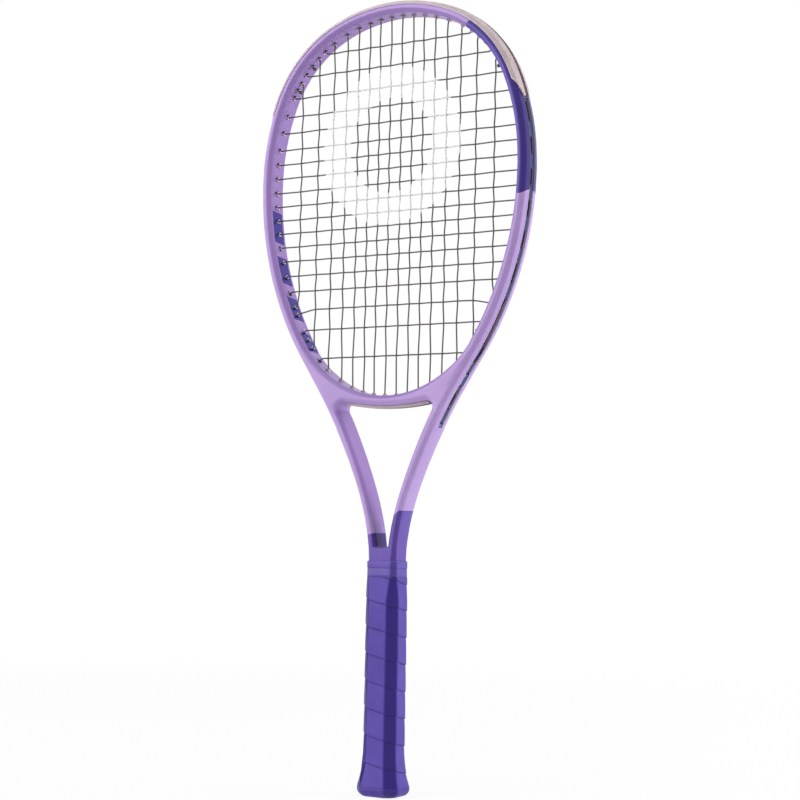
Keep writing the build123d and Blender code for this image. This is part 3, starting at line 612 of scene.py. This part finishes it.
def handleRing(height, count, inset=0.0, corner=handle["corner"]):
    look = handle
    flare = max(look["flareTop"] - height, 0.0) / (look["flareTop"] - look["rim"])
    taper = max(height - look["taperBottom"], 0.0) / (look["top"] - look["taperBottom"])
    sizes = []
    for plain, butt, top in ((look["width"], look["buttWidth"], look["topWidth"]),
                             (look["depth"], look["buttDepth"], look["topDepth"]),
                             (look["bevel"], look["buttBevel"], look["topBevel"])):
        sizes.append(plain + (butt - plain) * flare ** 2 + (top - plain) * taper)
    width, depth, bevel = sizes
    outline = octagon(width - 2 * inset, depth - 2 * inset, bevel - inset * bevelShare)
    return roundedOutline(outline, corner, count)


# grip, one band wound upwards round the handle
gripBand = {
    "pitch": 22.8,
    "seamHeight": 165.5,   # height of one seam at the left end of the front
    "rise": 0.55,          # how far the lower edge of a turn stands over the turn before
    "riseCurve": 0.8,
    "seam": 0.42,          # depth of the crease under that edge
    "creaseWidths": (0.02, 0.028),    # above and below the edge, as shares of the pitch
    "shadeWidths": (0.035, 0.02),     # the same for the painted shade line in it
    "crown": 0.10,
    "tuck": 0.35,          # how far the two ends of the band dip under
    "rowsPerTurn": 46,
    "crowding": 0.13,      # how closely the rows stand at the seam, so that its edge is crisp
    "around": 176,
    "outlinesPerMm": 4,
}


def nearSeam(phase, widths):
    # 1 at the seam, 0 away from it, from a place across the turn, 0 to 1
    above, below = widths
    return math.exp(-(phase / above) ** 2) + math.exp(-((1 - phase) / below) ** 2)


def gripSurface(phase):
    # how far a point of the band stands out, from its place across the turn
    look = gripBand
    step = look["rise"] * (1 - phase) ** look["riseCurve"]
    crown = look["crown"] * math.sin(math.pi * phase)
    return step + crown - look["seam"] * nearSeam(phase, look["creaseWidths"]) - look["rise"]


def gripWrap():
    look = gripBand
    low, high = gripLow.z / mm, gripHigh.z / mm
    around, rows, pitch, fine = [look[name] for name in
                                 ("around", "rowsPerTurn", "pitch", "outlinesPerMm")]
    turns = math.ceil((high - low) / pitch) + 2
    first = look["seamHeight"] - pitch * math.ceil((look["seamHeight"] - low) / pitch)
    phases = []
    for row in range(rows):
        share = row / rows
        phases.append(share - look["crowding"] * math.sin(2 * math.pi * share))
    lowest, highest = math.floor(low * fine), math.floor(high * fine) + 1
    outlines = [handleRing(step / fine, around) for step in range(lowest, highest + 1)]
    corners = []
    seams = []
    for turn in range(turns):
        for phase in phases:
            start = first + (turn + phase) * pitch
            proud = gripSurface(phase)
            # how much painted shade each row gets along the seam, kept in the seam attribute
            seams += [nearSeam(phase, look["shadeWidths"])] * around
            for column in range(around):
                height = min(max(start - pitch * column / around, low), high)
                below = math.floor(height * fine)
                share = height * fine - below
                point = outlines[below - lowest][column].lerp(
                    outlines[below - lowest + 1][column], share)
                fade = min(height - low, high - height, 1.0)
                reach = 1 + (proud * fade - (1 - fade) * look["tuck"]) / point.length
                corners.append((point.x * reach * mm, point.y * reach * mm, height * mm))
    faces = []
    for row in range(turns * rows - 1):
        for column in range(around):
            after = (column + 1) % around
            # a turn ends one pitch lower than it began, so the last column joins the next turn
            across = row if after else row + rows
            if across + 1 < turns * rows:
                faces.append((row * around + column, across * around + after,
                              (across + 1) * around + after, (row + 1) * around + column))
    mesh = bpy.data.meshes.new("grip_band")
    mesh.from_pydata(corners, [], faces)
    mesh.attributes.new("seam", "FLOAT", "POINT").data.foreach_set("value", seams)
    return welded(newObject("grip_band", mesh))


def welded(obj):
    # the rows that the ends of the band have squeezed flat are taken out
    work = bmesh.new()
    work.from_mesh(obj.data)
    bmesh.ops.remove_doubles(work, verts=work.verts, dist=0.02 * mm)
    bmesh.ops.dissolve_degenerate(work, dist=0.01 * mm, edges=work.edges)
    loose = [vert for vert in work.verts if not vert.link_faces]
    bmesh.ops.delete(work, geom=loose, context="VERTS")
    bmesh.ops.recalc_face_normals(work, faces=work.faces)
    work.to_mesh(obj.data)
    work.free()
    obj.data.shade_smooth()
    return obj


gripLook = {
    "face": card(92, 72, 168),
    "shade": card(80, 60, 154),
    "seamAndPoreShade": card(44, 26, 104),
    "bevelShade": card(36, 20, 108),    # painted shade on the bevels
    "pores": 1400.0,                   # in a metre
}


def gripLeather():
    look = gripLook
    f = Finish("grip_leather", IOR=1.45, Sheen_Roughness=0.5, Sheen_Weight=0.06,
               Specular_IOR_Level=0.3)
    colour = f.patches(f.cloud(22, 3.0), look["face"], look["shade"])
    # painted shade on the bevels
    colour = f.shadeBevels(colour, look["bevelShade"], 0.86)
    # painted shade along each seam, in the crease under the edge that stands over the turn before
    seam = f.node("ShaderNodeAttribute", {"attribute_name": "seam"}, {}, "Fac")
    colour = f.mix(seam * 0.45, colour, look["seamAndPoreShade"])
    pores = f.node("ShaderNodeTexVoronoi", {},
                   {"Vector": f.spot(), "Scale": look["pores"]}, "Distance")
    # painted shade in the pores
    colour = f.mix(f.under(pores, 0.22, 0.1) * 0.2, colour, look["seamAndPoreShade"])
    f.set("Base Color", colour)
    f.set("Roughness", 0.40 + f.cloud(5, 3.0) * 0.16)
    f.bump(f.cloud(0.9, 5.0, 0.6) * 0.7 + f.over(pores, 0.3, 0.25) * 0.3, 0.05)
    return f


grip = gripWrap()
wear(grip, gripLeather())
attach(grip, "racket")
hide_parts("grip_wrap")
print("grip wound")


# butt cap, one moulding with a pocket for the door
buttCap = {
    "around": 176,
    "rimSteps": [(0.35, 0.05), (0.05, 0.45), (0.0, 0.8)],    # inset, how far under the rim
    "edge": 6.2,                          # rounding of the bottom edge
    "edgeCorner": 5.5,
    "pocket": (22.6, 16.6, 3.3),          # width, depth, corner
    "pocketSteps": [(5.0, 0.12), (0.6, 0.15), (0.0, 0.45), (0.0, 2.9)],   # how much wider, height
    "mouth": (19.2, 13.2, 1.6),
    "mouthSteps": (2.9, 4.4),             # its bottom, and the cap's floor
    "skirtInset": 1.55,
    "skirtWall": 1.3,
    "skirtCorners": (1.5, 2.0),           # inside, outside
    "skirtSteps": (30.0, 24.0, 18.0, 13.0),
}


def buttCapMesh():
    look = buttCap
    around, edge, rim = look["around"], look["edge"], handle["rim"]
    rings = []
    for inset, drop in look["rimSteps"]:
        rings.append(atHeight(handleRing(rim, around, inset), rim - drop))
    arcSteps = 8
    for step in range(arcSteps + 1):
        turn = math.pi / 2 * step / arcSteps
        outline = handleRing(rim, around, edge * (1 - math.cos(turn)), look["edgeCorner"])
        rings.append(atHeight(outline, edge * (1 - math.sin(turn))))
    # the bottom dishes in by a hair round the pocket
    width, depth, corner = look["pocket"]
    for wider, height in look["pocketSteps"]:
        outline = rounded(width + wider, depth + wider, corner + wider / 2, around)
        rings.append(atHeight(outline, height))
    for height in look["mouthSteps"]:
        rings.append(atHeight(rounded(*look["mouth"], around), height))
    # the skirt goes up inside the grip, inner wall first
    innerCorner, outerCorner = look["skirtCorners"]
    inset = look["skirtInset"] + look["skirtWall"]
    inner = handleRing(handle["flareTop"], around, inset, innerCorner)
    skirtTop = capHigh.z / mm
    for height in (look["mouthSteps"][-1], skirtTop):
        rings.append(atHeight(inner, height))
    for height in (skirtTop, *look["skirtSteps"], rim):
        rings.append(atHeight(handleRing(height, around, look["skirtInset"], outerCorner), height))
    return ringLoft("butt_cap_moulding", rings)


# the third colour of each is painted shade on the bevels
capLook = {"face": card(86, 64, 160), "shade": card(72, 50, 146), "deep": card(40, 24, 108)}
doorLook = {"face": card(74, 54, 146), "shade": card(58, 40, 128), "deep": card(46, 30, 112)}


def capPlastic(name, look):
    f = Finish(name, IOR=1.48, Specular_IOR_Level=0.35)
    plain = f.patches(f.cloud(12, 3.0), look["face"], look["shade"])
    # painted shade on the bevels
    f.set("Base Color", f.shadeBevels(plain, look["deep"], 0.7))
    f.set("Roughness", 0.36 + f.cloud(2.5, 3.0) * 0.14)
    f.bump(f.cloud(0.5, 3.0), 0.03, f.softEdges(0.5))
    return f


cap = buttCapMesh()
wear(cap, capPlastic("cap_plastic", capLook))
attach(cap, "racket")
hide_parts("butt_cap")
wear(nodes["butt_cap_door"], capPlastic("door_plastic", doorLook))
print("butt cap done")


# collar and finishing tape at the top of the grip, two bands round the shaft
shaft = {
    "width": 27.4, "depth": 23.0, "bevel": 3.2,
    "corner": 1.6,
    "around": 160,
}
# the profiles of the bands go from the lower edge to the upper, each point as its distance from
# that edge and how far it stays under the full thickness
collarBand = {
    "bore": 0.06,
    "lower": [(0.0, 0.45), (0.15, 0.15), (0.5, 0.0)],
    "upper": [(1.3, 0.0), (0.7, 0.1), (0.25, 0.4), (0.0, 0.8)],
    # the last colour is painted shade on the bevels
    "face": card(104, 82, 176), "shade": card(88, 66, 160), "deep": card(50, 32, 120),
}
tapeBand = {
    "bore": 0.06,
    "lower": [(0.0, 0.1), (0.1, 0.0), (2.4, -0.06)],
    "upper": [(1.2, 0.05), (0.2, 0.0), (0.0, 0.12)],
    # the last colour is painted shade on the bevels
    "face": card(96, 74, 170), "shade": card(84, 62, 156), "deep": card(46, 30, 116),
}


def shaftRing(out):
    look = shaft
    outline = octagon(look["width"] + 2 * out, look["depth"] + 2 * out,
                      look["bevel"] + out * bevelShare)
    return roundedOutline(outline, look["corner"] + out, look["around"])


def bandMesh(name, replaced, look):
    boxLow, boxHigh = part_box(replaced)
    low, high = boxLow.z / mm, boxHigh.z / mm
    full = (boxHigh.x - boxLow.x) / mm / 2 - shaft["width"] / 2
    profile = [(low, look["bore"])]
    profile += [(low + up, full - less) for up, less in look["lower"]]
    profile += [(high - down, full - less) for down, less in look["upper"]]
    profile += [(high, look["bore"])]
    return ringLoft(name, [atHeight(shaftRing(out), height) for height, out in profile])


def collarRubber():
    look = collarBand
    f = Finish("collar_rubber", IOR=1.5)
    drift = f.cloud(8, 3.0)
    plain = f.patches(drift, look["face"], look["shade"])
    # painted shade on the bevels
    f.set("Base Color", f.shadeBevels(plain, look["deep"], 0.7))
    f.set("Roughness", 0.44 + drift * 0.14)
    f.bump(f.cloud(0.4, 3.0), 0.03)
    return f


def tapeVinyl():
    look = tapeBand
    f = Finish("tape_vinyl", IOR=1.5)
    drift = f.cloud(10, 3.0)
    plain = f.patches(drift, look["face"], look["shade"])
    # painted shade on the bevels
    f.set("Base Color", f.shadeBevels(plain, look["deep"], 0.7))
    f.set("Roughness", 0.30 + drift * 0.12)
    f.bump(f.cloud(2.2, 3.0, stretch=(1.0, 1.0, 4.0)), 0.05)
    return f


collar = bandMesh("collar_ring", "rubber_collar", collarBand)
wear(collar, collarRubber())
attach(collar, "racket")
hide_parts("rubber_collar")
tape = bandMesh("tape_band", "finishing_tape", tapeBand)
wear(tape, tapeVinyl())
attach(tape, "racket")
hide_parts("finishing_tape")
print("collar and tape done")


# inner pieces, seen only when the door is off
inner = {
    "foam": card(78, 78, 82), "foamCell": card(52, 52, 56),
    "steel": card(196, 196, 200), "steelDrawn": card(150, 150, 156),
}


def foamFinish():
    f = Finish("pallet_foam", IOR=1.4)
    cells = f.cloud(0.7, 4.0)
    f.set("Base Color", f.mix(cells, inner["foamCell"], inner["foam"]))
    f.set("Roughness", 0.7 + cells * 0.2)
    f.bump(cells, 0.12)
    return f


def stapleSteel():
    f = Finish("staple_wire", Metallic=1.0)
    drawn = f.cloud(0.3, 2.0)
    f.set("Base Color", f.mix(drawn, inner["steelDrawn"], inner["steel"]))
    f.set("Roughness", 0.28 + drawn * 0.2)
    f.bump(drawn, 0.01)
    return f


foam = foamFinish()
for name in ("front_pallet", "rear_pallet", "left_leg_plug", "right_leg_plug"):
    wear(nodes[name], foam)
wear(nodes["butt_cap_staples"], stapleSteel())
print("inner pieces done")


# floor, lights and camera
stage = {
    "floorReach": 60.0,
    "floorColour": card(246, 246, 247),
    "floorGlow": 0.90,              # share of plain white that the camera sees in the floor
    "whiteFrom": (900.0, 1600.0),   # further off than this, in mm, it sees nothing but white
    "worldLight": 0.27,
}
lamps = [
    # name, place, aimed at, width, height, power, shows in reflections
    ("left_softbox", (-1.28, -1.22, 0.75), (0.0, 0.0, 0.36), 1.6, 1.9, 24.0, True),
    ("right_softbox", (1.45, 0.90, 0.60), (0.0, 0.0, 0.36), 0.9, 1.6, 28.0, False),
    ("top_softbox", (0.0, -0.7, 1.9), (0.0, 0.0, 0.4), 1.2, 1.2, 11.0, True),
    ("back_softbox", (-0.4, 1.9, 0.9), (0.0, 0.0, 0.4), 1.6, 1.2, 10.0, False),
]
shot = {
    "azimuth": 31.0, "elevation": -4.22, "roll": 1.05,
    "distance": 1.499, "aim": (0.0097, 0.0, 0.3365),
    "lens": 78.417, "sensorWidth": 36.0,
}


def makeFloor():
    reach = stage["floorReach"]
    corners = [(-reach, -reach, 0), (reach, -reach, 0), (reach, reach, 0), (-reach, reach, 0)]
    mesh = bpy.data.meshes.new("floor")
    mesh.from_pydata(corners, [], [(0, 1, 2, 3)])
    obj = newObject("floor", mesh)
    obj.location.z = min(cadLow.z, 0.0)
    f = Finish("floor_paper", Base_Color=stage["floorColour"], Roughness=0.9)
    glow = f.node("ShaderNodeEmission", {}, {"Color": white, "Strength": 1.0})
    x, y, z = f.place()
    near, away = stage["whiteFrom"]
    far = f.over(f.sum("SQRT", x ** 2 + y ** 2), (near + away) / 2, (away - near) / 2)
    share = far * (1 - stage["floorGlow"]) + stage["floorGlow"]
    paper = Wire(f, f.shader.outputs[0])
    mixed = f.node("ShaderNodeMixShader", {}, {0: f.backdropRays() * share, 1: paper, 2: glow})
    f.feed(f.tree.nodes["Material Output"].inputs["Surface"], mixed)
    wear(obj, f)


def makeWorld():
    world = bpy.data.worlds.new("studio")
    world.use_nodes = True
    bpy.context.scene.world = world
    sky = Board(world.node_tree)
    background = sky.tree.nodes["Background"]
    sky.feed(background.inputs["Color"], white)
    sky.feed(background.inputs["Strength"], sky.larger(sky.backdropRays(), stage["worldLight"]))


def makeLamps():
    for name, place, aim, width, height, power, shows in lamps:
        lamp = bpy.data.lights.new(name, "AREA")
        lamp.shape = "RECTANGLE"
        lamp.size = width
        lamp.size_y = height
        lamp.energy = power
        obj = newObject(name, lamp)
        obj.visible_glossy = shows
        obj.location = place
        obj.rotation_euler = (Vector(aim) - Vector(place)).to_track_quat("-Z", "Y").to_euler()


def makeCamera():
    lens = bpy.data.cameras.new("shot")
    lens.lens = shot["lens"]
    lens.sensor_width = shot["sensorWidth"]
    camera = newObject("shot", lens)
    around, up = math.radians(shot["azimuth"]), math.radians(shot["elevation"])
    back = Vector((math.sin(around) * math.cos(up), -math.cos(around) * math.cos(up), math.sin(up)))
    camera.location = Vector(shot["aim"]) + back * shot["distance"]
    camera.rotation_mode = "QUATERNION"
    level = (-back).to_track_quat("-Z", "Y")
    camera.rotation_quaternion = Quaternion(back, math.radians(shot["roll"])) @ level
    bpy.context.scene.camera = camera


makeFloor()
makeWorld()
makeLamps()
makeCamera()
bpy.context.scene.view_settings.view_transform = "Standard"
print("studio ready")
